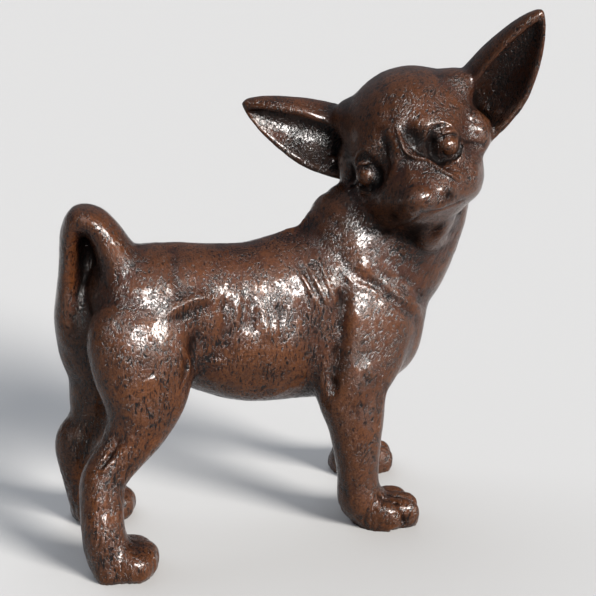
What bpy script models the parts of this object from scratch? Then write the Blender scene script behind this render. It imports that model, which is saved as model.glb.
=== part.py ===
"""A standing Chihuahua statue, one cast body in aluminium.

Row frame: +X is where the trunk points, +Y the dog's left, +Z up, metres.
The shapes are written in thousandths of the statue's height, soles to the tip of the left ear.
"""
import math

import bmesh
import bpy
import numpy as np
from mathutils import Matrix, Vector
from mathutils.bvhtree import BVHTree

NODE = "chihuahua"
HEIGHT = 0.320            # soles to the tip of the left ear
UNIT = HEIGHT / 1000
EAR_THICKNESS = 0.0062    # wall of the ear at its rim
EAR_FLOOR = 0.0075        # wall of the ear at the bottom of its hollow
FUSE_VOXEL = 0.0022       # grid that joins the masses
FINE_VOXEL = 0.0012       # grid that takes the carving
TRIANGLES = 9400          # the most the solid may keep
SOLE_SNAP = 0.0009        # points this near the ground are laid on it

# toes from the outer one inward: offset outward from the paw's middle, and reach
FRONT_TOES = ((41, 39), (24, 78), (-8, 78), (-37, 60))
HIND_TOES = ((35, 55), (13, 66), (-12, 66), (-34, 48))

HEAD_CENTRE = (319, -41, 752)
HEAD_TURN = math.radians(-122.4)
HEAD_DROP = math.radians(3.1)
HEAD_TILT = math.radians(17.8)


# Lofts

def spline(rows, per_span):
    """Runs a Catmull-Rom curve through rows of numbers."""
    out = []
    last = len(rows) - 1
    for i in range(last):
        a, b = rows[max(i - 1, 0)], rows[i]
        c, d = rows[i + 1], rows[min(i + 2, last)]
        for k in range(per_span):
            t = k / per_span
            out.append([0.5 * (2 * q + (r - p) * t + (2 * p - 5 * q + 4 * r - s) * t * t
                               + (3 * q - p - 3 * r + s) * t ** 3)
                        for p, q, r, s in zip(a, b, c, d)])
    out.append(list(rows[last]))
    return out


def body_of_rings(name, rings):
    """Closes a stack of rings of points into one body."""
    bm = bmesh.new()
    loops = [[bm.verts.new(p) for p in ring] for ring in rings]
    count = len(loops[0])
    for lower, upper in zip(loops, loops[1:]):
        for i in range(count):
            j = (i + 1) % count
            bm.faces.new((lower[i], lower[j], upper[j], upper[i]))
    for loop in (loops[0], loops[-1]):
        centre = bm.verts.new(sum((v.co for v in loop), Vector()) / count)
        for i in range(count):
            bm.faces.new((loop[i], loop[(i + 1) % count], centre))
    bmesh.ops.recalc_face_normals(bm, faces=bm.faces)
    mesh = bpy.data.meshes.new(name)
    bm.to_mesh(mesh)
    bm.free()
    obj = bpy.data.objects.new(name, mesh)
    bpy.context.collection.objects.link(obj)
    return obj


def tube(name, rows, place=None, side=(0, 1, 0), points=28):
    """Lofts ellipses through rows of x, y, z, half width across and half depth."""
    rows = spline([[float(v) for v in row] for row in rows], 5)
    centres = [Vector(row[:3]) for row in rows]
    rings = []
    for i, row in enumerate(rows):
        ahead = centres[min(i + 1, len(rows) - 1)] - centres[max(i - 1, 0)]
        ahead.normalize()
        across = Vector(side)
        across = (across - ahead * across.dot(ahead)).normalized()
        deep = ahead.cross(across)
        rings.append([centres[i] + across * row[3] * math.cos(2 * math.pi * k / points)
                      + deep * row[4] * math.sin(2 * math.pi * k / points) for k in range(points)])
    if place is not None:
        rings = [[place @ p for p in ring] for ring in rings]
    return body_of_rings(name, [[p * UNIT for p in ring] for ring in rings])


def mass(name, centre, radii, turns=(0, 0, 0), place=None, squareness=0.0):
    """A rounded mass turned about Z, then Y, then X (degrees): an ellipsoid, or a rounded block."""
    mesh = bpy.data.meshes.new(name)
    bm = bmesh.new()
    bmesh.ops.create_uvsphere(bm, u_segments=32, v_segments=20, radius=1.0)
    for v in bm.verts:
        v.co = [math.copysign(abs(c) ** (1 - squareness), c) for c in v.co]
    turn = (Matrix.Rotation(math.radians(turns[0]), 4, "Z")
            @ Matrix.Rotation(math.radians(turns[1]), 4, "Y")
            @ Matrix.Rotation(math.radians(turns[2]), 4, "X"))
    size = Matrix.Diagonal((radii[0], radii[1], radii[2], 1.0))
    frame = Matrix.Translation(Vector(centre)) @ turn @ size
    if place is not None:
        frame = place @ frame
    bmesh.ops.transform(bm, matrix=Matrix.Scale(UNIT, 4) @ frame, verts=bm.verts)
    bm.to_mesh(mesh)
    bm.free()
    obj = bpy.data.objects.new(name, mesh)
    bpy.context.collection.objects.link(obj)
    return obj


# Working the clay

def use_modifier(obj, kind, **settings):
    mod = obj.modifiers.new(kind.lower(), kind)
    for key, value in settings.items():
        setattr(mod, key, value)
    graph = bpy.context.evaluated_depsgraph_get()
    fresh = bpy.data.meshes.new_from_object(obj.evaluated_get(graph))
    obj.modifiers.clear()
    old = obj.data
    obj.data = fresh
    bpy.data.meshes.remove(old)


def join(name, objects):
    bm = bmesh.new()
    for obj in objects:
        bm.from_mesh(obj.data)
        old = obj.data
        bpy.data.objects.remove(obj)
        bpy.data.meshes.remove(old)
    mesh = bpy.data.meshes.new(name)
    bm.to_mesh(mesh)
    bm.free()
    obj = bpy.data.objects.new(name, mesh)
    bpy.context.collection.objects.link(obj)
    return obj


def fuse(name, objects, voxel):
    obj = join(name, objects)
    use_modifier(obj, "REMESH", mode="VOXEL", voxel_size=voxel)
    return obj


def relax(obj, rounds, strength=0.5):
    use_modifier(obj, "SMOOTH", factor=strength, iterations=rounds)


def stroke(obj, line, width, lift, place=None):
    """Raises (or, below zero, presses in) the surface along a line laid on it."""
    mesh = obj.data
    count = len(mesh.vertices)
    points = np.empty(count * 3)
    normals = np.empty(count * 3)
    mesh.vertices.foreach_get("co", points)
    mesh.vertices.foreach_get("normal", normals)
    points = points.reshape(-1, 3)
    normals = normals.reshape(-1, 3)
    tree = BVHTree.FromPolygons([v.co for v in mesh.vertices], [p.vertices for p in mesh.polygons])
    line = [Vector(p) for p in line]
    if place is not None:
        line = [place @ p for p in line]
    laid = [tree.find_nearest(p * UNIT)[0] for p in line]
    if len(laid) > 1:
        laid = [tree.find_nearest(Vector(p))[0] for p in spline([list(p) for p in laid], 6)]
    laid = np.array([list(p) for p in laid])
    scale = width * UNIT
    reach = scale * 2.2
    inside = np.all((points > laid.min(0) - reach) & (points < laid.max(0) + reach), axis=1)
    chosen = np.nonzero(inside)[0]
    near = np.full(len(chosen), 1e9)
    for p, q in zip(laid[:-1], laid[1:]):
        span = q - p
        length = max(float(span @ span), 1e-14)
        t = np.clip((points[chosen] - p) @ span / length, 0, 1)
        gap = points[chosen] - p - t[:, None] * span
        near = np.minimum(near, np.linalg.norm(gap, axis=1))
    if len(laid) == 1:
        near = np.linalg.norm(points[chosen] - laid[0], axis=1)
    share = np.where(near < reach, np.exp(-(near / scale) ** 2), 0.0)
    points[chosen] += normals[chosen] * (share * lift * UNIT)[:, None]
    mesh.vertices.foreach_set("co", points.ravel())
    mesh.update()


# The statue's masses

def head_place():
    return (Matrix.Translation(Vector(HEAD_CENTRE))
            @ Matrix.Rotation(HEAD_TURN, 4, "Z")
            @ Matrix.Rotation(HEAD_DROP, 4, "Y")
            @ Matrix.Rotation(HEAD_TILT, 4, "X"))


def face_place():
    """The face sits a little askew on the head: eyes, bridge and nose lean further over."""
    return (head_place() @ Matrix.Translation(Vector((2, -4, 0)))
            @ Matrix.Rotation(math.radians(3), 4, "Z")
            @ Matrix.Rotation(math.radians(-1), 4, "Y")
            @ Matrix.Rotation(math.radians(5), 4, "X"))


def trunk():
    rows = [(-290, 0, 446, 30, 40), (-278, 0, 452, 62, 72), (-254, 0, 462, 88, 98),
            (-222, 0, 473, 103, 114), (-160, 0, 463, 105, 128), (-90, 0, 439, 103, 144),
            (0, 0, 418, 104, 162), (90, 0, 420, 108, 170), (170, 0, 422, 117, 176),
            (245, 0, 422, 114, 174), (308, 0, 422, 96, 146), (344, 0, 424, 70, 98),
            (364, 0, 422, 36, 48)]
    neck = [(160, 0, 460, 96, 110), (226, 0, 510, 106, 156), (284, -3, 562, 102, 156),
            (334, -12, 626, 93, 122), (349, -24, 688, 88, 99), (336, -36, 745, 84, 98),
            (328, -40, 780, 60, 70)]
    ribs = [mass("ribs", (10, s * 40, 388), (156, 78, 118)) for s in (1, -1)]
    return [tube("trunk", rows), tube("neck", neck)] + ribs


def foreleg(side, knee_x, foot):
    """One front leg; side is +1 on the dog's left, foot the middle of the sole."""
    fx, fy = foot
    y = abs(fy)
    s = side
    rows = [(232, s * 52, 520, 44, 84), (222, s * 70, 445, 58, 104),
            (200, s * 82, 360, 58, 96), (knee_x - 12, s * 92, 290, 53, 76),
            (knee_x - 5, s * 98, 222, 46, 60), (knee_x - 2, s * 100, 150, 42, 47),
            (knee_x + 2, s * (y + 96) / 2, 95, 43, 42), (knee_x + 8, s * (y - 4), 56, 48, 48),
            (knee_x + 30, s * (y - 13), 30, 46, 47), (knee_x + 38, s * (y - 20), 0, 38, 42)]
    return [tube("foreleg", rows)]


def hind_leg(side, shift, back, lean, foot):
    """One hind leg: thigh, hock (set back by back) and the long bone leaning to the paw."""
    fx, fy = foot
    s = side
    y = abs(fy)
    rows = [(-212 + shift, s * 40, 500, 46, 64), (-224 + shift, s * 62, 440, 64, 104),
            (-228 + shift, s * 76, 375, 66, 98), (-232 + shift, s * 84, 315, 58, 82),
            (-250 + shift, s * 90, 262, 48, 60), (-286 + back, s * 96, 215, 41, 46),
            (-318 + back, s * 101, 178, 41, 43),
            (-324 + back + lean * 0.5, s * (y + 100) / 2, 125, 41, 42),
            (-325 + back + lean, s * (y - 2), 80, 44, 42), (fx - 27, s * (y - 4), 40, 49, 45),
            (fx - 12, s * (y - 6), 0, 46, 42)]
    return [tube("hind leg", rows)]


def paw(side, foot, turn, toes, toe_width, heel=(-26, 0, 0)):
    """A paw: a blunt heel and pad with four blocky toes, each given by its offset outward and its reach."""
    fx, fy = foot
    hx, hy, heel_turn = heel
    place = Matrix.Translation(Vector((fx, fy, 0))) @ Matrix.Rotation(math.radians(turn), 4, "Z")
    out = [mass("pad", (-8, 0, 24), (60, 54, 38), (0, 8, 0), place, 0.12),
           mass("heel", (hx, hy, 10), (38, 55, 32), (heel_turn, 0, 0), place, 0.35)]
    for offset, reach in toes:
        y = side * offset
        out.append(mass("toe", (reach - 36, y, 23), (37, toe_width, 34), (y * 0.25, 6, 0), place, 0.25))
    return out


def tail():
    """The tail rises from the rump, rolls over and lies down against the far buttock."""
    rows = [(-232, -14, 440, 44, 46), (-240, -14, 500, 52, 44), (-252, -12, 556, 54, 40),
            (-268, -8, 602, 54, 33), (-292, 0, 640, 52, 27), (-318, 12, 646, 50, 23),
            (-333, 28, 610, 50, 20), (-334, 42, 556, 50, 20), (-338, 54, 496, 52, 23),
            (-340, 60, 440, 50, 28), (-332, 62, 390, 36, 24)]
    lobe = [(-250, -30, 520, 44, 40), (-274, -36, 470, 42, 34), (-298, -42, 432, 33, 26),
            (-310, -44, 406, 16, 14)]
    web = mass("web", (-296, 58, 530), (44, 18, 100))
    return [tube("tail", rows, side=(0.25, 1, 0)), tube("tail root", lobe), web]


def skull(place, face):
    out = [mass("cranium", (-8, 0, 27), (136, 128, 123), place=place),
           mass("brow", (54, 0, 4), (84, 108, 74), place=place),
           mass("jaw hinge", (16, 0, -56), (104, 120, 84), place=place)]
    muzzle = [(20, 0, -44, 110, 90), (80, 0, -60, 102, 76), (116, 0, -72, 86, 60),
              (146, 0, -80, 66, 49), (168, 0, -84, 47, 39), (182, 0, -87, 24, 22)]
    chin = [(20, 0, -92, 86, 48), (90, 0, -111, 62, 33), (134, 0, -118, 42, 23),
            (155, 0, -115, 22, 14)]
    out += [tube("muzzle", muzzle, face), tube("chin", chin, place)]
    out.append(mass("bridge", (98, 0, -30), (74, 52, 36), (0, 26, 0), face))
    out.append(mass("throat", (62, 4, -146), (58, 52, 42), place=place))
    for s in (1, -1):
        out.append(mass("cheek", (30, s * 72, -66), (88, 52, 68), place=place))
        out.append(mass("lip", (84, s * 56, -84), (64, 42, 45), (s * -14, 0, 0), place))
        out.append(mass("ear root", (-22, s * 98, 78), (56, 46, 42), place=place))
        out.append(mass("ear lobe", (4, s * 124, -8), (40, 30, 46), place=place))
    return out


def ear(side, place):
    """A big upright ear: a leaf whose front is hollowed, leaving EAR_THICKNESS at the rim."""
    s = side
    along = Vector((0.0, s * 0.72, 0.69))
    facing = Vector((0.80, s * 0.43, -0.42))
    facing = (facing - along * facing.dot(along)).normalized()
    rim = EAR_THICKNESS / UNIT / 2
    floor = EAR_FLOOR / UNIT
    rows = spline([(-30, 90, 66, -16, 128, -48, 88), (-14, 132, 90, -18, 164, -30, 86),
                   (0, 182, 126, -18, 220, 8, 76), (6, 228, 152, -16, 256, 54, 58),
                   (6, 264, 167, -12, 281, 98, 42), (4, 286, 173, -8, 294, 132, 27),
                   (2, 298, 174, -4, 301, 154, 17), (0, 303, 171, -2, 303, 164, 9)], 5)
    rings = []
    steps = 14
    bead = 6
    for mx, my, mz, lx, ly, lz, depth in rows:
        inner_edge = Vector((mx, s * my, mz))
        outer_edge = Vector((lx, s * ly, lz))
        centre = (inner_edge + outer_edge) / 2
        across = (inner_edge - outer_edge) / 2
        width = across.length
        across.normalize()
        wall = min(rim, width * 0.45)
        inner = width - 2 * wall
        deep = max(depth - floor, depth * 0.1)
        ring = []
        for k in range(steps + 1):
            turn = math.pi * k / steps
            ring.append((width * math.cos(turn), -depth * math.sin(turn)))
        for k in range(1, bead):
            turn = math.pi * k / bead
            ring.append((-width + wall - wall * math.cos(turn), wall * math.sin(turn)))
        for k in range(steps, -1, -1):
            turn = math.pi * k / steps
            ring.append((inner * math.cos(turn), -deep * math.sin(turn)))
        for k in range(1, bead):
            turn = math.pi * k / bead
            ring.append((width - wall - wall * math.cos(turn), wall * math.sin(turn)))
        rings.append([place @ (centre + across * p + facing * q) * UNIT for p, q in ring])
    return body_of_rings("ear", rings)


def eyes(face):
    return [mass("eye", (92, s * 78, up), (22, 22, 22), place=face) for s, up in ((1, -10), (-1, -13))]


# Carving

def both(line):
    """The same line on both sides, as a list of two."""
    return [[(x, s * y, z) for x, y, z in line] for s in (1, -1)]


def carve_face(body, face):
    """Sockets under heavy brows, and the ridge from the stop round below each eye."""
    socket = [(128, 36, 24), (128, 48, 0), (118, 66, -16), (102, 88, -20)]
    brow = [(126, 42, 38), (114, 60, 48), (96, 84, 40), (80, 102, 18)]
    groove = [(126, 24, 50), (132, 28, 30), (134, 38, 4), (130, 52, -18), (122, 74, -42), (108, 94, -58)]
    ridge = [(126, 12, 56), (132, 14, 34), (138, 21, 8), (136, 38, -18), (134, 60, -46), (120, 84, -70)]
    for line in both(socket):
        stroke(body, line, 18, -8, face)
    for line in both(brow):
        stroke(body, line, 12, 6, face)
    for line in both(groove):
        stroke(body, line, 9, -4, face)
    for line in both(ridge):
        stroke(body, line, 10, 4, face)


def carve_mouth(body, face):
    mouth = [(178, 0, -106), (168, 20, -114), (148, 40, -124), (120, 60, -132), (92, 78, -136)]
    for line in both(mouth):
        stroke(body, line, 6, -3.5, face)


def carve_trunk(body):
    """Skin folds and the hollows between the trunk and the limbs, on both sides."""
    for line in both([(150, 113, 482), (142, 120, 425), (136, 125, 365), (122, 126, 306)]):
        stroke(body, line, 13, -10)
    for line in both([(176, 118, 330), (170, 120, 300)]):
        stroke(body, line, 18, 5)
    for line in both([(-138, 109, 428), (-150, 119, 384), (-162, 124, 345)]):
        stroke(body, line, 13, -9)
    for line in both([(-185, 105, 484), (-148, 101, 497), (-112, 97, 505)]):
        stroke(body, line, 12, 6)
    for line in both([(-158, 30, 581), (-162, 73, 556), (-158, 96, 520)]):
        stroke(body, line, 12, -5)
    for line in both([(196, 104, 530), (262, 114, 474), (322, 90, 434)]):
        stroke(body, line, 11, 6)
    for line in both([(210, 104, 505), (262, 112, 452), (312, 92, 412)]):
        stroke(body, line, 9, -5)
    for line in both([(74, 88, 532), (107, 113, 468)]):
        stroke(body, line, 6, 4)
    for line in both([(96, 90, 534), (122, 111, 476)]):
        stroke(body, line, 6, 4)
    for line in both([(118, 80, 548), (138, 112, 476)]):
        stroke(body, line, 6, 4)
    for line in both([(-292, 128, 262), (-312, 126, 228)]):
        stroke(body, line, 10, -6)
    for line in both([(-262, 122, 330), (-246, 126, 292)]):
        stroke(body, line, 20, 4)
    stroke(body, [(72, 0, 600), (100, 0, 618)], 16, 7)
    stroke(body, [(392, 0, 470), (380, 0, 410)], 26, 8)


# The statue

def stand(body):
    """Lays the soles on the ground and puts the origin under the middle of the body."""
    mesh = body.data
    points = np.empty(len(mesh.vertices) * 3)
    mesh.vertices.foreach_get("co", points)
    points = points.reshape(-1, 3)
    points[:, 2] = np.where(points[:, 2] < SOLE_SNAP, 0.0, points[:, 2])
    low = points.min(0)
    high = points.max(0)
    scale = HEIGHT / high[2]
    middle = (low + high) / 2
    middle[2] = 0.0
    points = (points - middle) * scale
    mesh.vertices.foreach_set("co", points.ravel())
    mesh.update()
    return scale, middle


def build():
    for obj in list(bpy.data.objects):
        bpy.data.objects.remove(obj)
    place = head_place()
    near_front, far_front = (240, -98), (300, 152)
    near_hind, far_hind = (-290, -128), (-280, 116)
    face = face_place()
    parts = trunk() + tail() + skull(place, face)
    parts += foreleg(-1, 190, near_front) + foreleg(1, 276, far_front)
    parts += hind_leg(-1, 0, 0, 0, near_hind) + hind_leg(1, -36, -14, 22, far_hind)
    body = fuse(NODE, parts, FUSE_VOXEL)
    relax(body, 14, 0.6)
    carve_trunk(body)
    extra = [ear(1, place), ear(-1, place)]
    extra += paw(-1, near_front, -18, FRONT_TOES, 19, (-16, 18, 36)) + paw(1, far_front, 14, FRONT_TOES, 19)
    extra += paw(-1, near_hind, -20, HIND_TOES, 24, (-16, -5, 0)) + paw(1, far_hind, 14, HIND_TOES, 24)
    body = fuse(NODE, [body] + extra, FINE_VOXEL)
    relax(body, 5, 0.5)
    carve_face(body, face)
    carve_mouth(body, face)
    nose = mass("nose", (181, 0, -73), (16, 27, 19), (0, 16, 0), face)
    body = fuse(NODE, [body, nose] + eyes(face), FINE_VOXEL)
    relax(body, 3, 0.5)
    first, centre = stand(body)
    use_modifier(body, "DECIMATE", ratio=TRIANGLES / (2 * len(body.data.polygons)))
    second, rest = stand(body)
    return first * second, centre + rest / first


PLACED = build()
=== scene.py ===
"""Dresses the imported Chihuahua: its cast skin with face, folds and coat, the patina, floor, lights, camera.

Places of the carving are in thousandths of the statue's height, as in the part's source;
PLACE, HEAD and FACE turn them into metres in the row frame.
"""
import math

import bmesh
import bpy
import numpy as np
from mathutils import Matrix, Vector


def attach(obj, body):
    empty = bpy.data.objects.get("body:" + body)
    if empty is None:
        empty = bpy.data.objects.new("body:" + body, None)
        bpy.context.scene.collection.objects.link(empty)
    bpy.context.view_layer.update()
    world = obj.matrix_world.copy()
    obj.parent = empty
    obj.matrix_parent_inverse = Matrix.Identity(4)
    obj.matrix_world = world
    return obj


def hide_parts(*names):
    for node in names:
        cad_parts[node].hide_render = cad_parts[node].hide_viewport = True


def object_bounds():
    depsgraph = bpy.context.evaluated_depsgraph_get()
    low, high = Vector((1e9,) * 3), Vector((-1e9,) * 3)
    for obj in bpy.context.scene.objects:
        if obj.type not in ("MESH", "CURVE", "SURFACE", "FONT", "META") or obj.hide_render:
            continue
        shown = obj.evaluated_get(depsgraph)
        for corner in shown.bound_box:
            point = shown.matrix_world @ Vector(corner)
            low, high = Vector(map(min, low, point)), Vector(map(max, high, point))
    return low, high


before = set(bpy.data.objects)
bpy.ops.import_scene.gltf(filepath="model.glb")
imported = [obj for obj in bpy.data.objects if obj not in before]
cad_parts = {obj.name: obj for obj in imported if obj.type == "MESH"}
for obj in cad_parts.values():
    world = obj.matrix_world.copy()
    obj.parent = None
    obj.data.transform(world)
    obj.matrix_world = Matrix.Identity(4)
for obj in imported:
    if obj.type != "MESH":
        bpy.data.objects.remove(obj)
cad_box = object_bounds()

NODE = "chihuahua"
PIECE = "chihuahua_cast"
HEIGHT = 0.320                         # soles to the tip of the higher ear, in metres
FIT = 0.990936                         # the solid's size against its first design
UNIT = HEIGHT / 1000 * FIT
SHIFT = Vector((73.382, -6.123, 0.0))  # the design's point that came to lie at the row's origin
VOXEL = 0.00072                        # grid that takes the carving
TRIANGLES = 190000                     # triangles the skin is thinned to; the most the skin may keep
SOLE_SNAP = 0.0012                     # points this near the ground are laid on it
WELD = 1e-6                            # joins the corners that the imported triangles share
LEAST = 1e-9                           # stands for a length of nothing in a division

PLACE = Matrix.Scale(UNIT, 4) @ Matrix.Translation(-SHIFT)


def turned(degrees, axis):
    return Matrix.Rotation(math.radians(degrees), 4, axis)


HEAD_AT = (319, -41, 752)
HEAD = (PLACE @ Matrix.Translation(HEAD_AT)
        @ turned(-122.4, "Z") @ turned(3.1, "Y") @ turned(17.8, "X"))
FACE = HEAD @ Matrix.Translation((2, -4, 0)) @ turned(3, "Z") @ turned(-1, "Y") @ turned(5, "X")

# Eyes, by side: depth, across and up in the frame of the face, and how far the ball stands out or lies back
EYES = {1: ((97, 76, -12), 0.0), -1: ((97, -84, -10), -3.0)}
EYEBALL = 20.5
UPPER_LID = 6.5
LOWER_LID = 5.5
LID_END = 0.55                         # a lid's thickness at its ends, as a share

# Toes: offset outward and reach, from the outer toe inward
FRONT_TOES = ((41, 39), (24, 78), (-8, 78), (-37, 60))
HIND_TOES = ((35, 55), (13, 66), (-12, 66), (-34, 48))
# Paws: side, middle of the sole, turn in degrees, toes, and the share of the full clefts to be cut
PAWS = ((-1, (240, -98), -18, FRONT_TOES, 1.0), (1, (300, 152), 14, FRONT_TOES, 1.0),
        (-1, (-290, -128), -20, HIND_TOES, 0.25), (1, (-280, 116), 14, HIND_TOES, 0.25))
HIND_PAWS = PAWS[2:]
OUTER_CLEFT = 6.0
INNER_CLEFT = 3.2


# Meshes

def spline(rows, per_span=6):
    """Runs a Catmull-Rom curve through rows of numbers."""
    out = []
    last = len(rows) - 1
    for i in range(last):
        a, b = rows[max(i - 1, 0)], rows[i]
        c, d = rows[i + 1], rows[min(i + 2, last)]
        for k in range(per_span):
            t = k / per_span
            out.append([0.5 * (2 * q + (r - p) * t + (2 * p - 5 * q + 4 * r - s) * t * t
                               + (3 * q - p - 3 * r + s) * t ** 3)
                        for p, q, r, s in zip(a, b, c, d)])
    out.append(list(rows[last]))
    return out


def new_object(name, bm):
    mesh = bpy.data.meshes.new(name)
    bm.to_mesh(mesh)
    bm.free()
    obj = bpy.data.objects.new(name, mesh)
    bpy.context.scene.collection.objects.link(obj)
    return obj


BEAD_POINTS = 12


def bead(name, rows, place):
    """A round rope of clay through rows of x, y, z and radius, closed flat at both ends."""
    rows = spline([[float(v) for v in row] for row in rows])
    centres = [Vector(row[:3]) for row in rows]
    bm = bmesh.new()
    loops = []
    for i, row in enumerate(rows):
        ahead = (centres[min(i + 1, len(rows) - 1)] - centres[max(i - 1, 0)]).normalized()
        side = ahead.orthogonal().normalized() if i == 0 else (side - ahead * side.dot(ahead)).normalized()
        deep = ahead.cross(side)
        turns = [2 * math.pi * k / BEAD_POINTS for k in range(BEAD_POINTS)]
        arms = [side * math.cos(turn) + deep * math.sin(turn) for turn in turns]
        loops.append([bm.verts.new(place @ (centres[i] + arm * row[3])) for arm in arms])
    for lower, upper in zip(loops, loops[1:]):
        for i in range(BEAD_POINTS):
            after = (i + 1) % BEAD_POINTS
            bm.faces.new((lower[i], lower[after], upper[after], upper[i]))
    bm.faces.new(loops[0])
    bm.faces.new(loops[-1])
    bmesh.ops.recalc_face_normals(bm, faces=bm.faces)
    return new_object(name, bm)


def ball(name, centre, radii, place, lean=0):
    """A rounded lump of clay, leaned about Y (degrees)."""
    bm = bmesh.new()
    bmesh.ops.create_uvsphere(bm, u_segments=36, v_segments=24, radius=1.0)
    shape = turned(lean, "Y") @ Matrix.Diagonal((*radii, 1.0))
    bmesh.ops.transform(bm, matrix=place @ Matrix.Translation(centre) @ shape, verts=bm.verts)
    return new_object(name, bm)


def use_modifier(obj, kind, **settings):
    mod = obj.modifiers.new(kind.lower(), kind)
    for key, value in settings.items():
        setattr(mod, key, value)
    graph = bpy.context.evaluated_depsgraph_get()
    fresh = bpy.data.meshes.new_from_object(obj.evaluated_get(graph))
    obj.modifiers.clear()
    old = obj.data
    obj.data = fresh
    bpy.data.meshes.remove(old)


def join(name, objects):
    bm = bmesh.new()
    for obj in objects:
        bm.from_mesh(obj.data)
        old = obj.data
        bpy.data.objects.remove(obj)
        bpy.data.meshes.remove(old)
    return new_object(name, bm)


# Working the skin

RELAX_IN, RELAX_OUT = 0.52, 0.54       # share of a step of smoothing, and of the step back out
MELT_SHARE = 0.5                       # the same where skin melts, at most
STROKE_REACH = 2.2                     # how far a stroke is felt to each side, in widths
FADE_RATE, FADE_START = 5, 0.25        # how fast a stroke comes in from its ends, and what it starts with
DOT = 1e-7                             # length given to a stroke of one point, in metres


class Clay:
    """The skin's points, normals and edges as arrays."""

    def __init__(self, obj):
        self.obj = obj
        mesh = obj.data
        self.count = len(mesh.vertices)
        self.points = self.read("co")
        self.normals = self.read("normal")
        edges = np.empty(len(mesh.edges) * 2, dtype=np.int64)
        mesh.edges.foreach_get("vertices", edges)
        self.edges = edges.reshape(-1, 2)
        self.degree = np.maximum(np.bincount(self.edges.ravel(), minlength=self.count), 1)[:, None]

    def read(self, what):
        out = np.empty(self.count * 3)
        self.obj.data.vertices.foreach_get(what, out)
        return out.reshape(-1, 3)

    def write(self):
        self.obj.data.vertices.foreach_set("co", self.points.ravel())
        self.obj.data.update()
        self.normals = self.read("normal")

    def around(self, values):
        """Each point's mean over the points joined to it."""
        a, b = self.edges[:, 0], self.edges[:, 1]
        columns = [np.bincount(a, values[b, k], self.count) + np.bincount(b, values[a, k], self.count)
                   for k in range(values.shape[1])]
        return np.stack(columns, axis=1) / self.degree

    def soften(self, values, rounds, share=0.5):
        for _ in range(rounds):
            values = values + share * (self.around(values) - values)
        return values

    def relax(self, rounds):
        """Smooths away the grid's steps without shrinking the form."""
        for _ in range(rounds):
            self.points = self.points + RELAX_IN * (self.around(self.points) - self.points)
            self.points = self.points - RELAX_OUT * (self.around(self.points) - self.points)
        self.write()

    def melt(self, centre, inner, outer, rounds, place):
        """Smooths the skin between two distances from a place, so that forms run into each other."""
        gap = np.linalg.norm(self.points - np.array(place @ Vector(centre)), axis=1) / UNIT
        held = np.nonzero(gap < outer)[0]
        number = np.full(self.count, -1)
        number[held] = np.arange(len(held))
        pairs = number[self.edges]
        a, b = pairs[(pairs >= 0).all(axis=1)].T
        degree = np.maximum(np.bincount(a, minlength=len(held)) + np.bincount(b, minlength=len(held)), 1)
        gap = gap[held]
        share = MELT_SHARE * ramp(gap, outer, outer * 0.7)
        if inner:
            share *= ramp(gap, inner * 0.9, inner * 1.1)
        spots = self.points[held]
        for _ in range(rounds):
            mean = np.stack([np.bincount(a, spots[b, k], len(held)) + np.bincount(b, spots[a, k], len(held))
                             for k in range(3)], axis=1) / degree[:, None]
            spots += share[:, None] * (mean - spots)
        self.points[held] = spots

    def lay(self, line, place):
        """The line's points, dropped on to the skin."""
        out = []
        for p in line:
            p = np.array(place @ Vector(p))
            near = int(np.argmin(((self.points - p) ** 2).sum(axis=1)))
            normal = self.normals[near]
            out.append(p - normal * float((p - self.points[near]) @ normal))
        return np.array(out)

    def stroke(self, line, width, lift, place=PLACE):
        """Raises (or, below zero, presses in) the skin along a line, fading at both ends, or at one point."""
        laid = self.lay(line, place)
        fade = len(laid) > 1
        laid = np.array(spline(laid.tolist())) if fade else np.vstack([laid, laid + DOT])
        steps = np.linalg.norm(np.diff(laid, axis=0), axis=1)
        along = np.concatenate([[0.0], np.cumsum(steps)])
        whole = max(float(along[-1]), LEAST)
        scale = width * UNIT
        reach = scale * STROKE_REACH
        inside = np.all((self.points > laid.min(0) - reach) & (self.points < laid.max(0) + reach), axis=1)
        chosen = np.nonzero(inside)[0]
        spots = self.points[chosen]
        near = np.full(len(chosen), np.inf)
        place_on = np.zeros(len(chosen))
        for i, (p, q) in enumerate(zip(laid[:-1], laid[1:])):
            span = q - p
            t = np.clip((spots - p) @ span / max(float(span @ span), LEAST ** 2), 0, 1)
            gap = np.linalg.norm(spots - p - t[:, None] * span, axis=1)
            closer = gap < near
            near = np.where(closer, gap, near)
            place_on = np.where(closer, (along[i] + t * steps[i]) / whole, place_on)
        share = np.where(near < reach, np.exp(-(near / scale) ** 2), 0.0)
        if fade:
            share *= np.clip(np.minimum(place_on, 1 - place_on) * FADE_RATE + FADE_START, 0, 1)
        self.points[chosen] += self.normals[chosen] * (share * lift * UNIT)[:, None]

    def stroke_both(self, line, width, lift, place=PLACE):
        for side in (1, -1):
            self.stroke(on_side(side, line), width, lift, place)


def on_side(side, line):
    """The line as given for side 1, and mirrored for side -1."""
    return [(x, side * y, z) for x, y, z in line]


# Large odd numbers that scatter the noise's grid points
SCATTER_X, SCATTER_Y, SCATTER_Z, SCATTER_SEED = 374761393, 668265263, 2147483647, 1274126177
WORD = 0xffffffff
HALF_WORD = 0xffff


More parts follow.
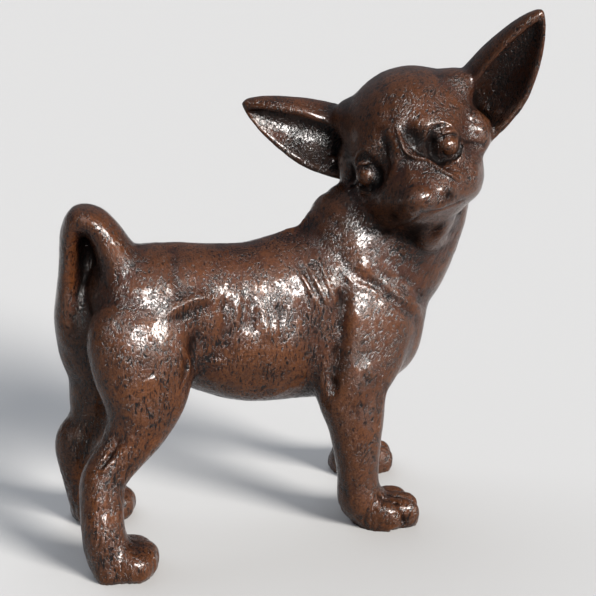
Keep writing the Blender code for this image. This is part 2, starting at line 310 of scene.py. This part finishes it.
def value_noise(spots, seed):
    """Smooth values from -1 to 1 on a grid one unit wide."""
    base = np.floor(spots).astype(np.int64)
    part = spots - base
    part = part * part * part * (part * (part * 6 - 15) + 10)
    out = np.zeros(len(spots))
    for dx in (0, 1):
        for dy in (0, 1):
            for dz in (0, 1):
                h = (base[:, 0] + dx) * SCATTER_X + (base[:, 1] + dy) * SCATTER_Y
                h = (h + (base[:, 2] + dz) * SCATTER_Z + seed * SCATTER_SEED) & WORD
                h = ((h ^ (h >> 13)) * SCATTER_SEED) & WORD
                h = (h ^ (h >> 16)) & HALF_WORD
                weight = ((part[:, 0] if dx else 1 - part[:, 0]) * (part[:, 1] if dy else 1 - part[:, 1])
                          * (part[:, 2] if dz else 1 - part[:, 2]))
                out += weight * (h / (HALF_WORD / 2) - 1)
    return out


def combed(points, along, strokes, extra_seed):
    """Noise drawn out along one direction; strokes holds its width, length and first seed."""
    width, length, seed = strokes
    along = Vector(along).normalized()
    side = along.orthogonal().normalized()
    deep = along.cross(side)
    spots = np.stack([points @ np.array(side) / width, points @ np.array(deep) / width,
                      points @ np.array(along) / length], axis=1)
    return value_noise(spots + 100.0, seed + extra_seed)


def ramp(values, low, high):
    t = np.clip((values - low) / (high - low), 0, 1)
    return t * t * (3 - 2 * t)


def in_design(points):
    """Row metres to the design's thousandths."""
    return points / UNIT + np.array(SHIFT)


# The forms that the solid keeps plain

def eye_frame(side):
    """An eye's centre and its directions out, to the outer corner and up, in the frame of the face."""
    centre = Vector(EYES[side][0])
    out = Vector((0.88, side * 0.46, 0.06)).normalized()
    outer = Vector((0, 0, 1)).cross(out).normalized() * side
    rise = outer.cross(out) * side
    return centre, out, outer, -rise if rise.z < 0 else rise


def eye_spot(side, angle, distance, depth):
    """A place by angle (0 the outer corner, 90 up) and distance round an eye, and depth outward."""
    centre, out, outer, rise = eye_frame(side)
    turn = math.radians(angle)
    return centre + out * depth + (outer * math.cos(turn) + rise * math.sin(turn)) * distance


def round_eye(side, spots, depth=12):
    """Places round an eye by angle and distance, all at one depth."""
    return [eye_spot(side, angle, distance, depth) for angle, distance in spots]


def lid(name, side, spots, radius):
    """A lid: a rope of clay round an eye through angle, distance from the eye and depth."""
    rows = [(*eye_spot(side, angle, distance, depth), radius) for angle, distance, depth in spots]
    for end in (0, -1):
        rows[end] = (*rows[end][:3], radius * LID_END)
    return bead(name, rows, FACE)


def eye_forms(side):
    """An eyeball and its lids; the upper lid of the dog's right eye starts higher up."""
    centre, out = eye_frame(side)[:2]
    upper = ((26, 26.5, 1), (56, 24.5, 10), (88, 24, 13), (114, 27, 9))
    lower = ((-24, 31, 0), (-52, 31, 5), (-80, 31, 7), (-102, 31, 4))
    if side > 0:
        upper = ((2, 27, -8),) + upper
        lower = ((-4, 29, -8),) + lower
    else:
        upper = upper[2:] + ((136, 29, 5),)
    return [ball("eyeball", centre + out * EYES[side][1], (EYEBALL, EYEBALL, EYEBALL), FACE),
            lid("upper lid", side, upper, UPPER_LID),
            lid("lower lid", side, lower, LOWER_LID)]


def throat_forms():
    """The throat running down into the neck, and across to its far side."""
    middle = ((312, -130, 612, 40), (326, -108, 592, 38), (338, -84, 572, 34), (344, -62, 552, 28))
    flank = ((322, -134, 622, 31), (344, -108, 612, 31), (364, -80, 604, 28))
    return [bead("throat", middle, PLACE), bead("throat side", flank, PLACE)]


def nose_forms():
    made = [ball("nose pad", (176, 0, -73), (23, 33, 24), FACE, 16)]
    for side in (1, -1):
        made.append(ball("nostril wing", (174, side * 19, -82), (16, 15, 15), FACE))
    return made


# What is melted: centre, inner and outer distance, and rounds
JAW_MELT = ((100, 6, -164), 0, 98, 9)
EYE_MELT = (34, 66, 90)
NOSE_MELT = ((170, 0, -76), 0, 54, 26)
THROAT_MELT = ((80, -4, -184), 0, 110, 420)
HIND_TOE_MELT = ((22, 0, 34), 0, 92, 70)


def paw_place(foot, turn):
    return PLACE @ Matrix.Translation((*foot, 0)) @ turned(turn, "Z")


def melt_forms(clay):
    """Lets the lids, nose, throat and hind toes run into what carries them."""
    for side in (1, -1):
        clay.melt(eye_frame(side)[0], *EYE_MELT, FACE)
    clay.melt(*NOSE_MELT, FACE)
    clay.melt(*THROAT_MELT, FACE)
    for paw in HIND_PAWS:
        clay.melt(*HIND_TOE_MELT, paw_place(*paw[1:3]))
    clay.write()


# Carving

JAW_PIT = [(109, 2, -161), (112, 6, -158)]


def carve_face(clay):
    """Lines of the face; most are cut on both sides, and shallower around the dog's right eye."""
    for side, deep in ((1, -10), (-1, -4)):
        rings = (
            # pocket on the bridge side of the eye, thin grooves between the ball and its lids
            (((132, 33), (156, 33), (182, 33), (208, 33), (236, 31)), 9, deep),
            (((128, 22), (104, 20.5), (78, 20), (50, 20.5), (22, 22)), 2.4, -2.4),
            (((236, 25), (264, 24.5), (294, 25), (326, 25.5), (356, 26)), 3.6, -4.6),
            # the brow's fold, from the bridge side down to the outer corner, and the soft crease under it
            (((134, 50), (117, 53), (100, 49), (84, 42), (63, 36), (38, 34)), 7, 4.2),
            (((146, 40), (122, 40), (102, 37), (80, 34), (56, 32)), 4.5, -2.0),
            # rim outside and below the eye
            (((8, 31), (340, 32), (318, 32), (296, 32), (272, 32)), 3.4, 1.6),
        )
        for spots, width, lift in rings:
            clay.stroke(round_eye(side, spots), width, lift, FACE)
    lines = (
        # the fold that runs back from the outer corner
        ([(74, 106, -20), (60, 112, -26), (46, 122, -36), (33, 131, -47)], 3.4, -2.8),
        # the cheek
        ([(70, 116, -60), (84, 106, -84), (92, 94, -104)], 12, 2.0),
    )
    for line, width, lift in lines:
        clay.stroke_both(line, width, lift, FACE)
    # ridge from the stop round below each eye, with the groove outside it; the dog's right one is softer
    for side, share in ((1, 1.0), (-1, 0.12)):
        ridge = ((125, 5, 56), (132, 6, 30), (135, 6, 14), (137, 14, -2), (137, 37, -20), (144, 54, -45),
                 (136, 70, -66), (130, 80, -78))
        groove = ((126, 15, 54), (131, 17, 34), (134, 24, 10), (133, 42, -8), (134, 62, -34), (126, 80, -58))
        clay.stroke(on_side(side, ridge), 3.2, 6.0 * share, FACE)
        clay.stroke(on_side(side, groove), 7, -5.4 * share, FACE)
    carve_muzzle(clay)


def carve_muzzle(clay):
    """Mouth, nose, jaw and the pits of the whiskers."""
    lines = (
        # mouth, faint, drawn back and down
        ([(176, 5, -102), (166, 22, -109), (148, 42, -116), (122, 60, -121), (100, 72, -122)], 3.2, -2.4),
        # nostrils with their side slits
        ([(196, 12, -80), (192, 18, -85)], 5.2, -2.4),
        ([(192, 18, -85), (186, 26, -82), (178, 33, -78)], 3.6, -1.2),
        # line between the jaw and the throat
        ([(-20, 49, -166), (20, 47, -160), (59, 43, -151), (98, 31, -142)], 8, -2.6),
        # the pit behind the nose on each cheek
        ([(156, 50, -87), (152, 55, -93)], 6, -2.0),
    )
    for line, width, lift in lines:
        clay.stroke_both(line, width, lift, FACE)
    # groove of the upper lip, the pit under the jaw, the furrow of the brow, the bridge of the nose
    clay.stroke([(196, 0, -86), (188, 0, -96), (178, 0, -104)], 3, -1.6, FACE)
    clay.stroke(JAW_PIT, 9, -3.2, FACE)
    clay.stroke([(128, 0, 66), (118, 0, 96), (96, 0, 126)], 9, -1.4, FACE)
    clay.stroke([(142, 4, -14), (152, 2, -34), (166, 2, -50)], 11, 1.6, FACE)
    for row in range(3):
        for k in range(4):
            clay.stroke_both([(160 - 9 * k, 33 + 8 * k + 2 * row, -84 - 9 * row - 4 * k)], 2.4, -1.0, FACE)


EAR_STROKE = 6


def carve_ears(clay):
    """Ridges that run up inside each ear and the folds at its foot, in the frame of the head."""
    for side in (1, -1):
        for lane, lift in ((-14, 1.4), (4, -1.8), (20, 1.3)):
            line = [(16 + lane * 0.2, 150 + t * 105 - lane * 0.55, 36 + t * 105 + lane * 0.55)
                    for t in (0.0, 0.25, 0.5, 0.75, 1.0)]
            clay.stroke(on_side(side, line), EAR_STROKE, lift, HEAD)
        for line, lift in (([(-54, 142, 29), (-40, 154, 12), (-30, 174, 12)], 3.0),
                           ([(5, 149, 11), (-12, 163, -17), (-11, 185, -7)], 3.0),
                           ([(44, 112, 40), (38, 126, 18), (24, 142, 2)], -1.6)):
            clay.stroke(on_side(side, line), EAR_STROKE, lift, HEAD)


def carve_body(clay):
    """Folds, muscles and hollows of the trunk and the limbs, on both sides."""
    lines = (
        # ribs and the flat between them and the loin
        ([(-45, 86, 519), (-55, 103, 472), (-59, 108, 410)], 8, 3.0),
        ([(-8, 100, 484), (0, 112, 412)], 8, 3.0),
        ([(62, 110, 451), (57, 113, 384)], 9, 2.6),
        ([(-26, 98, 500), (-28, 108, 430)], 7, -2.6),
        ([(28, 104, 478), (28, 112, 400)], 8, -2.4),
        ([(-74, 97, 498), (-82, 107, 421)], 10, -3.4),
        # folds behind the shoulder
        ([(66, 88, 545), (76, 92, 524), (88, 102, 498), (102, 112, 462)], 4.0, 2.0),
        ([(86, 82, 552), (94, 90, 532), (104, 100, 506), (120, 112, 470)], 4.0, 2.2),
        ([(106, 74, 566), (114, 84, 548), (122, 96, 520), (140, 110, 470)], 4.0, 2.2),
        ([(78, 84, 546), (90, 96, 516), (112, 112, 464)], 4.4, -1.3),
        ([(97, 78, 558), (108, 92, 528), (130, 110, 470)], 4.4, -1.3),
        # edge of the shoulder blade, running down behind the foreleg
        ([(158, 74, 566), (156, 96, 522), (148, 112, 474)], 9, -2.2),
        ([(134, 114, 400), (128, 116, 362), (124, 118, 331), (132, 126, 301)], 9, -3.6),
        # folds over the shoulder and the chest
        ([(141, 85, 545), (171, 103, 509), (204, 111, 492), (236, 113, 480)], 9, 2.6),
        ([(222, 104, 543), (268, 106, 501), (313, 94, 472)], 9, 2.4),
        ([(206, 104, 510), (248, 112, 474), (296, 98, 434)], 8, -1.8),
        ([(262, 100, 520), (300, 92, 486), (336, 74, 452)], 8, -1.6),
        # loin
        ([(-186, 106, 484), (-164, 104, 496), (-138, 101, 503), (-108, 99, 505)], 9, 2.6),
        ([(-176, 106, 466), (-142, 104, 480), (-106, 102, 486)], 9, -1.4),
        ([(-150, 36, 577), (-162, 68, 552), (-165, 90, 520)], 9, -1.8),
        # belly
        ([(-108, 96, 376), (-86, 100, 377)], 6, 2.6),
        ([(-20, 108, 346), (20, 110, 340), (52, 110, 348)], 8, -1.6),
        # front edge of the thigh and the hollows of the hip
        ([(-165, 119, 416), (-152, 108, 388), (-156, 112, 361), (-174, 124, 338)], 5.5, 3.6),
        ([(-142, 108, 424), (-138, 104, 392), (-142, 106, 356), (-164, 114, 312)], 9, -3.0),
        ([(-237, 120, 407), (-226, 122, 374)], 15, -2.4),
        # triceps
        ([(186, 138, 352), (198, 140, 324)], 10, 4.0),
        # hock: two ridges with a groove between them
        ([(-326, 122, 217), (-306, 119, 238), (-290, 121, 254)], 4, 2.6),
        ([(-340, 118, 208), (-322, 128, 206), (-300, 130, 226)], 4.4, 2.6),
        ([(-326, 124, 206), (-310, 124, 226), (-290, 126, 262)], 4.4, -3.6),
    )
    for line, width, lift in lines:
        clay.stroke_both(line, width, lift)
    # withers
    clay.stroke([(68, 0, 604), (104, 0, 622)], 8, 3)
    # nape rolls behind the head
    for step in (0, 1, 2):
        clay.stroke([(172 + 22 * step, -60, 596 + 26 * step), (160 + 22 * step, 0, 606 + 27 * step),
                     (176 + 22 * step, 60, 590 + 26 * step)], 9, -2.6)
    # throat folds under the jaw
    clay.stroke([(300, -140, 600), (346, -116, 590), (386, -78, 592)], 8, -2.0)


def carve_paw(clay, side, foot, turn, toes, share):
    """Deepens the clefts between the toes, the outer one most, and raises each toe's back."""
    place = paw_place(foot, turn)
    for k, ((outer, near), (inner, far)) in enumerate(zip(toes, toes[1:])):
        y = side * (outer + inner) / 2
        reach = min(near, far)
        deep = (INNER_CLEFT if k else OUTER_CLEFT) * share
        clay.stroke([(reach - 66, y * 0.7, 64), (reach - 40, y * 0.9, 60), (reach - 16, y, 46),
                     (reach - 2, y, 24), (reach - 2, y, 2)], 4.2, -deep, place)
    for outer, reach in toes:
        clay.stroke([(reach - 36, side * outer, 58), (reach - 14, side * outer, 46)], 8, 1.2 * share, place)


# The coat's strokes: width and length in metres, and first seed
WIDE_STROKES = (0.0021, 0.0105, 11)
FINE_STROKES = (0.0014, 0.0065, 31)
# Ways the coat lies on flank, chest, rump and back, and the depth of its strokes there
LAYS = (((0.10, 0, 1), 1.0), ((0.62, 0, 0.78), 0.6), ((-0.45, 0.1, 0.88), 1.0), ((1, 0, 0.12), 0.7))
# What else the surface has: size in metres and seed
PATCHES = (0.022, 5)
LARGE_LUMPS = (0.0085, 3)
SMALL_LUMPS = (0.0045, 4)
GRAIN = (0.0019, 8)
# Depth of the strokes and height of the lumps and the grain, in metres
STROKE_DEPTH = 0.00019
LUMP_HEIGHT = 0.00013
GRAIN_HEIGHT = 0.00003
SKULL, SKULL_SIZE = (319, -41, 740), (190, 190, 150)


def coat(clay):
    """The modelled coat: combed strokes, soft lumps and a fine grain, with no strokes on head and ears."""
    design = in_design(clay.points)
    x, z = design[:, 0], design[:, 2]
    up = np.clip(clay.normals[:, 2], 0, 1)
    head = ramp(np.linalg.norm((design - np.array(SKULL)) / SKULL_SIZE, axis=1), 1.1, 0.85)
    ears = ramp(np.linalg.norm(design - np.array(HEAD_AT), axis=1), 165, 200) * ramp(z, 690, 720)
    legs = ramp(z, 330, 250)
    back = ramp(up, 0.55, 0.85) * (1 - legs)
    front = ramp(x, 130, 190) * (1 - legs)
    rump = ramp(x, -110, -170) * (1 - legs)
    plain = np.clip(head + ears, 0, 1)
    weights = np.stack([np.clip(1 - front - rump - back, 0, 1) + legs,
                        front * (1 - back), rump * (1 - back), back], axis=1)
    weights *= (1 - plain)[:, None]
    cut = np.zeros(clay.count)
    for k, (along, depth) in enumerate(LAYS):
        chosen = np.nonzero(weights[:, k] > 0.01)[0]
        spots = clay.points[chosen]
        wide = combed(spots, along, WIDE_STROKES, k)
        fine = combed(spots + 0.31, along, FINE_STROKES, k)
        marks = ramp(wide, 0.10, 0.55) + 0.7 * ramp(fine, 0.15, 0.6)
        cut[chosen] += marks * depth * weights[chosen, k]
    patch = 0.55 + 0.45 * value_noise(clay.points / PATCHES[0] + 7, PATCHES[1])
    lumps = (value_noise(clay.points / LARGE_LUMPS[0], LARGE_LUMPS[1])
             + 0.5 * value_noise(clay.points / SMALL_LUMPS[0], SMALL_LUMPS[1]))
    grain = value_noise(clay.points / GRAIN[0], GRAIN[1])
    still = np.clip(1 - 0.55 * plain, 0, 1)
    lift = -STROKE_DEPTH * cut * patch + LUMP_HEIGHT * lumps * still + GRAIN_HEIGHT * grain
    clay.points += clay.normals * lift[:, None]


# How hollows are read: rounds of smoothing, weight, and the depth in metres that counts as one
HOLLOWS = ((5, 0.45, 0.00014), (40, 0.42, 0.0009), (160, 0.08, 0.0035))
HOLLOW_SHARE = 0.8
HOLLOW_LIMIT = 1.5
# Inside an ear, in the frame of the head: its middle, how far it reaches, over what distance it fades
# out, and the share of a hollow that doesn't count there
EAR_MIDDLE = (16, 200, 88)
EAR_REACH, EAR_EDGE = 120, 40
EAR_LESS = 0.65


def hollows(clay):
    """How far each point lies in a hollow (above zero) or on a crest, over fine and broad distances."""
    out = np.zeros(clay.count)
    for rounds, weight, size in HOLLOWS:
        smooth = clay.soften(clay.points, rounds, HOLLOW_SHARE)
        gap = ((smooth - clay.points) * clay.normals).sum(axis=1)
        out += weight * np.clip(gap / size, -HOLLOW_LIMIT, HOLLOW_LIMIT)
    # the shell of an ear is hollow as a whole, so less of it counts there
    for side in (1, -1):
        middle = clay.lay(on_side(side, [EAR_MIDDLE]), HEAD)[0]
        gap = np.linalg.norm(clay.points - middle, axis=1) / UNIT
        out *= 1 - EAR_LESS * np.clip((EAR_REACH - gap) / EAR_EDGE, 0, 1)
    return out


def painted_shade(clay):
    """Painted shade: black painted into the recesses of the face where shade falls, from 0 to 1."""
    # painted shade as line, radius and strength: between the ridge and the dog's left eye, in the pit, under
    # the jaw
    places = [([(126, 26, 30), (126, 32, 18), (122, 39, 8), (119, 46, -4), (123, 52, -20)], 12, 1.0),
              (JAW_PIT, 15, 0.8),
              ([(128, -22, -128), (110, -34, -138), (84, -44, -142)], 22, 0.7)]
    for side, pocket, bridge in ((1, 1.0, 0.95), (-1, 0.5, 0.15)):
        # painted shade in the pocket of each eye, the ring under and over its ball, the side of the bridge,
        # and beside the nose
        places += [(round_eye(side, ((132, 32), (156, 33), (182, 34), (208, 33), (236, 30)), 6), 12, pocket),
                   (round_eye(side, ((350, 26), (320, 26), (290, 26), (260, 26), (236, 26)), 8), 4.5, 0.7),
                   (round_eye(side, ((126, 23), (76, 21), (30, 23)), 8), 3.5, 0.5),
                   (on_side(side, [(120, 26, 34), (122, 34, 12), (126, 48, -12)]), 17, bridge),
                   (on_side(side, [(156, 50, -87), (150, 56, -94)]), 11, 0.7)]
    out = np.zeros(clay.count)
    for line, radius, strength in places:
        laid = np.array(spline(clay.lay(line, FACE).tolist(), 4))
        gap = np.min([np.linalg.norm(clay.points - spot, axis=1) for spot in laid], axis=0)
        out = np.maximum(out, strength * np.exp(-(gap / (radius * UNIT)) ** 2))
    return out


def make_skin():
    """The solid's triangles, rounded, with the forms joined on, carved, coated and thinned again."""
    bm = bmesh.new()
    bm.from_mesh(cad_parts[NODE].data)
    bmesh.ops.remove_doubles(bm, verts=bm.verts, dist=WELD)
    base = new_object("base", bm)
    coarse = Clay(base)
    coarse.melt(*JAW_MELT, FACE)
    coarse.write()
    use_modifier(base, "SUBSURF", levels=2, render_levels=2)
    forms = nose_forms() + throat_forms() + eye_forms(1) + eye_forms(-1)
    skin = join(PIECE, [base] + forms)
    use_modifier(skin, "REMESH", mode="VOXEL", voxel_size=VOXEL)
    clay = Clay(skin)
    clay.points = clay.soften(clay.points, 2, 0.5)
    clay.write()
    melt_forms(clay)
    carve_face(clay)
    clay.write()
    carve_ears(clay)
    carve_body(clay)
    for paw in PAWS:
        carve_paw(clay, *paw)
    clay.write()
    clay.relax(2)
    coat(clay)
    clay.points[:, 2] = np.where(clay.points[:, 2] < SOLE_SNAP, 0.0, clay.points[:, 2])
    low, high = (np.array(v) for v in cad_box)
    clay.points = np.clip(clay.points, low, high)
    clay.write()
    use_modifier(skin, "DECIMATE", ratio=TRIANGLES / (2 * len(skin.data.polygons)))
    return skin


def mark_skin(skin):
    """Stores the hollows and the painted shade for the material."""
    clay = Clay(skin)
    mesh = skin.data
    hollow = mesh.attributes.new("hollow", "FLOAT", "POINT")
    hollow.data.foreach_set("value", hollows(clay))
    painted_shade_mask = mesh.attributes.new("painted_shade", "FLOAT", "POINT")
    painted_shade_mask.data.foreach_set("value", painted_shade(clay))
    for polygon in mesh.polygons:
        polygon.use_smooth = True


# Material

class Nodes:
    """Short ways to add and join shader nodes."""

    def __init__(self, tree):
        self.tree = tree

    def add(self, kind, inputs=None, **settings):
        node = self.tree.nodes.new(kind)
        for key, value in settings.items():
            setattr(node, key, value)
        for key, value in (inputs or {}).items():
            if isinstance(value, bpy.types.NodeSocket):
                self.tree.links.new(value, node.inputs[key])
            else:
                node.inputs[key].default_value = value
        return node

    def math(self, operation, a, b=0.0, clamp=False):
        return self.add("ShaderNodeMath", {0: a, 1: b}, operation=operation, use_clamp=clamp).outputs[0]

    def spread(self, value, low, high, to_low=0.0, to_high=1.0):
        return self.add("ShaderNodeMapRange", {"Value": value, "From Min": low, "From Max": high,
                                               "To Min": to_low, "To Max": to_high}).outputs[0]

    def noise(self, vector, scale, detail, roughness):
        return self.add("ShaderNodeTexNoise", {"Vector": vector, "Scale": scale, "Detail": detail,
                                               "Roughness": roughness}).outputs["Fac"]

    def leaning(self, vector, lean):
        """Coordinates drawn out upward and leaned about Y (degrees), for combed noise."""
        turn = (0.0, math.radians(lean), 0.0)
        return self.add("ShaderNodeMapping", {"Vector": vector, "Rotation": turn, "Scale": STROKE_STRETCH},
                        vector_type="TEXTURE").outputs[0]

    def mix(self, share, first, second):
        node = self.add("ShaderNodeMix", data_type="RGBA")
        for key, value in ((0, share), (6, first), (7, second)):
            if isinstance(value, bpy.types.NodeSocket):
                self.tree.links.new(value, node.inputs[key])
            else:
                node.inputs[key].default_value = value
        return node.outputs[2]


BROWN = (0.052, 0.0152, 0.0042, 1)
RED_BROWN = (0.037, 0.0100, 0.0042, 1)
LIGHTER_BROWN = (0.082, 0.0275, 0.0082, 1)
UMBER = (0.0085, 0.0031, 0.0018, 1)
BLACK = (0.0022, 0.0015, 0.0015, 1)

# Noise: scale, detail and roughness
CLOUDS = (34.0, 3.0, 0.6)
GATHERED = (85.0, 3.0, 0.6)
SPECKS = (820.0, 3.0, 0.65)
STROKES = (880.0, 2.0, 0.6)
FINE_BUMPS = (420.0, 2.0, 0.5)
STROKE_STRETCH = (1.0, 1.0, 3.0)
UPRIGHT, SLANTED = 6, 38               # lean of the painted strokes behind and before the shoulder, degrees
SHOULDER = (0.015, 0.04)               # where one passes into the other, along the body, in metres
LIGHTER_BELOW_HEIGHT = (0.18, 0.065)          # from here down the brown is lighter, in metres
CREST = -0.6                           # the highest crest that counts
DEEP_HOLLOW = (0.6, 1.5)               # from where hollows are dull to where they are dullest
BLACK_HOLLOW = (0.6, 1.7)              # from where hollows darken to where they are black
UMBER_MARKS = (0.45, 0.59)
BLACK_MARKS = (0.565, 0.625)
PRESSED_MARKS = (0.50, 0.68)
DULLEST = 0.7                          # depth or painted shade at which the gloss is all but gone
DULL_COAT = 0.05
COAT_IOR = 1.28
BUMP_DEPTH = 0.00021


def patina():
    """Brown lacquer over black left in pits, hair strokes and hollows, with painted shade in the recesses of
    the face, under a clear gloss.
    """
    material = bpy.data.materials.new("patina")
    material.use_nodes = True
    tree = material.node_tree
    shader = tree.nodes["Principled BSDF"]
    n = Nodes(tree)
    where = n.add("ShaderNodeTexCoord").outputs["Object"]
    hollow = n.math("MAXIMUM", n.add("ShaderNodeAttribute", attribute_name="hollow").outputs["Fac"], CREST)
    painted_shade_mask = n.add("ShaderNodeAttribute", attribute_name="painted_shade").outputs["Fac"]
    deep = n.math("MAXIMUM", painted_shade_mask, n.spread(hollow, *DEEP_HOLLOW), True)
    clouds = n.noise(where, *CLOUDS)
    patches = n.noise(where, *GATHERED)
    speck = n.noise(where, *SPECKS)
    upright = n.noise(n.leaning(where, UPRIGHT), *STROKES)
    slanted = n.noise(n.leaning(where, SLANTED), *STROKES)
    across = n.add("ShaderNodeSeparateXYZ", {0: where}).outputs
    strokes = n.add("ShaderNodeMix", {0: n.spread(across[0], *SHOULDER), 2: upright, 3: slanted}).outputs[0]
    # towards the bottom the brown is made lighter
    low = n.spread(across[2], *LIGHTER_BELOW_HEIGHT)
    marks = n.math("MAXIMUM", strokes, n.math("SUBTRACT", speck, 0.015))
    # more marks gather in some patches and in the hollows, fewer on the crests
    shift = n.math("MULTIPLY", n.math("SUBTRACT", patches, 0.5), 0.32)
    shift = n.math("ADD", shift, n.math("MULTIPLY", hollow, 0.045))
    # where shade is painted, more of the black marks gather too
    shift = n.math("ADD", shift, n.math("MULTIPLY", painted_shade_mask, 0.10))
    marks = n.math("ADD", marks, shift)
    # the brown, rubbed lighter on crests and lighter towards the bottom, then umber and black over it
    body = n.mix(n.spread(clouds, 0.38, 0.62), RED_BROWN, BROWN)
    crests = n.math("MULTIPLY", n.spread(hollow, -0.1, CREST), 0.7)
    lightened = n.math("ADD", crests, n.math("MULTIPLY", low, 0.6), True)
    body = n.mix(lightened, body, LIGHTER_BROWN)
    body = n.mix(n.spread(speck, 0.36, 0.60, 0.85, 0.0), body, UMBER)
    body = n.mix(n.math("MULTIPLY", n.spread(marks, *UMBER_MARKS), 0.75), body, UMBER)
    dark = n.math("MAXIMUM", n.spread(marks, *BLACK_MARKS), n.spread(hollow, *BLACK_HOLLOW), True)
    # painted shade: the recesses of the face are painted black
    dark = n.math("MAXIMUM", dark, n.math("MULTIPLY", painted_shade_mask, 0.85), True)
    tree.links.new(n.mix(dark, body, BLACK), shader.inputs["Base Color"])
    tree.links.new(n.spread(dark, 0.0, 1.0, 0.50, 0.65), shader.inputs["Roughness"])
    shader.inputs["Metallic"].default_value = 0.1
    shader.inputs["Specular IOR Level"].default_value = 0.02
    tree.links.new(n.spread(deep, 0.0, DULLEST, 1.0, DULL_COAT), shader.inputs["Coat Weight"])
    shader.inputs["Coat Roughness"].default_value = 0.1
    shader.inputs["Coat IOR"].default_value = COAT_IOR
    height = n.math("MULTIPLY", n.spread(marks, *PRESSED_MARKS), -0.9)
    height = n.math("ADD", height, n.math("MULTIPLY", n.noise(where, *FINE_BUMPS), 0.5))
    bump = n.add("ShaderNodeBump", {"Strength": 1.0, "Distance": BUMP_DEPTH, "Height": height})
    tree.links.new(bump.outputs[0], shader.inputs["Normal"])
    tree.links.new(bump.outputs[0], shader.inputs["Coat Normal"])
    return material


# Floor, lights and camera

def plain(name, color, roughness):
    material = bpy.data.materials.new(name)
    material.use_nodes = True
    shader = material.node_tree.nodes["Principled BSDF"]
    shader.inputs["Base Color"].default_value = color
    shader.inputs["Roughness"].default_value = roughness
    shader.inputs["Specular IOR Level"].default_value = 0.0
    return material


FLOOR = (0.38, 0.38, 0.38, 1)
BACKDROP = (0.76, 0.76, 0.76, 1)       # what the camera sees past the floor, as bright as the lit floor
SKY = (0.86, 0.91, 1.0, 1)             # what lights the statue from around
SKY_LOW, SKY_HIGH = 0.10, 0.55         # its strength at the horizon and overhead
FLOOR_RADIUS = 60.0


def make_floor():
    bm = bmesh.new()
    bmesh.ops.create_circle(bm, cap_ends=True, segments=96, radius=FLOOR_RADIUS)
    floor = new_object("floor", bm)
    floor.data.materials.append(plain("pale_floor", FLOOR, 0.9))


def from_angles(azimuth, elevation):
    """The direction from the statue to a viewer or light at these angles (degrees)."""
    a, e = math.radians(azimuth), math.radians(elevation)
    return Vector((math.sin(a) * math.cos(e), -math.cos(a) * math.cos(e), math.sin(e)))


# Lamps far off: strength, width in degrees, colour, azimuth and elevation, and whether each lights
# the surface and whether it shows as a highlight
LAMPS = (("key", 9.5, 20, (1.0, 0.96, 0.91), (31, 24), True, True),
         ("front", 15.0, 24, (1.0, 0.97, 0.94), (1, 23), False, True),
         ("back fill", 2.6, 90, (0.92, 0.95, 1.0), (195, 35), True, False))


def make_lights():
    """The lamps, and a soft sky that the statue and the floor see but the camera doesn't."""
    scene = bpy.context.scene
    for name, energy, angle, color, aim, lights, shines in LAMPS:
        light = bpy.data.lights.new(name, "SUN")
        light.energy = energy
        light.angle = math.radians(angle)
        light.color = color
        lamp = bpy.data.objects.new(name, light)
        lamp.rotation_euler = (-from_angles(*aim)).to_track_quat("-Z", "Y").to_euler()
        lamp.visible_diffuse = lights
        lamp.visible_glossy = shines
        scene.collection.objects.link(lamp)
    world = bpy.data.worlds.new("studio")
    world.use_nodes = True
    scene.world = world
    tree = world.node_tree
    n = Nodes(tree)
    seen = n.add("ShaderNodeLightPath").outputs["Is Camera Ray"]
    around = n.add("ShaderNodeTexCoord").outputs["Generated"]
    height = n.add("ShaderNodeSeparateXYZ", {0: around}).outputs[2]
    glow = n.spread(height, 0.0, 0.9, SKY_LOW, SKY_HIGH)
    strength = n.add("ShaderNodeMix", {0: seen, 2: glow, 3: 1.0}).outputs[0]
    background = tree.nodes["Background"]
    tree.links.new(n.mix(seen, SKY, BACKDROP), background.inputs["Color"])
    tree.links.new(strength, background.inputs["Strength"])


VIEW = (-20, 16)                       # azimuth and elevation of the photograph's viewpoint
TARGET = (100, 0, 455)                 # what it looks at, and from how far, in the design's thousandths
DISTANCE = 2333.3
FOCAL, PICTURE = 1190, 596             # focal length and width of the photograph, in its pixels
SENSOR = 36.0


def make_camera():
    """The photograph's viewpoint, carried over from the design."""
    scene = bpy.context.scene
    back = from_angles(*VIEW)
    target = PLACE @ Vector(TARGET)
    data = bpy.data.cameras.new("camera")
    data.sensor_width = SENSOR
    data.lens = FOCAL / PICTURE * SENSOR
    data.clip_start = 0.01
    camera = bpy.data.objects.new("camera", data)
    camera.location = target + back * (DISTANCE * UNIT)
    camera.rotation_euler = (-back).to_track_quat("-Z", "Y").to_euler()
    scene.collection.objects.link(camera)
    scene.camera = camera
    scene.view_settings.view_transform = "Standard"


skin = make_skin()
mark_skin(skin)
skin.data.materials.clear()
skin.data.materials.append(patina())
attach(skin, "root")
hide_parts(NODE)
make_floor()
make_lights()
make_camera()
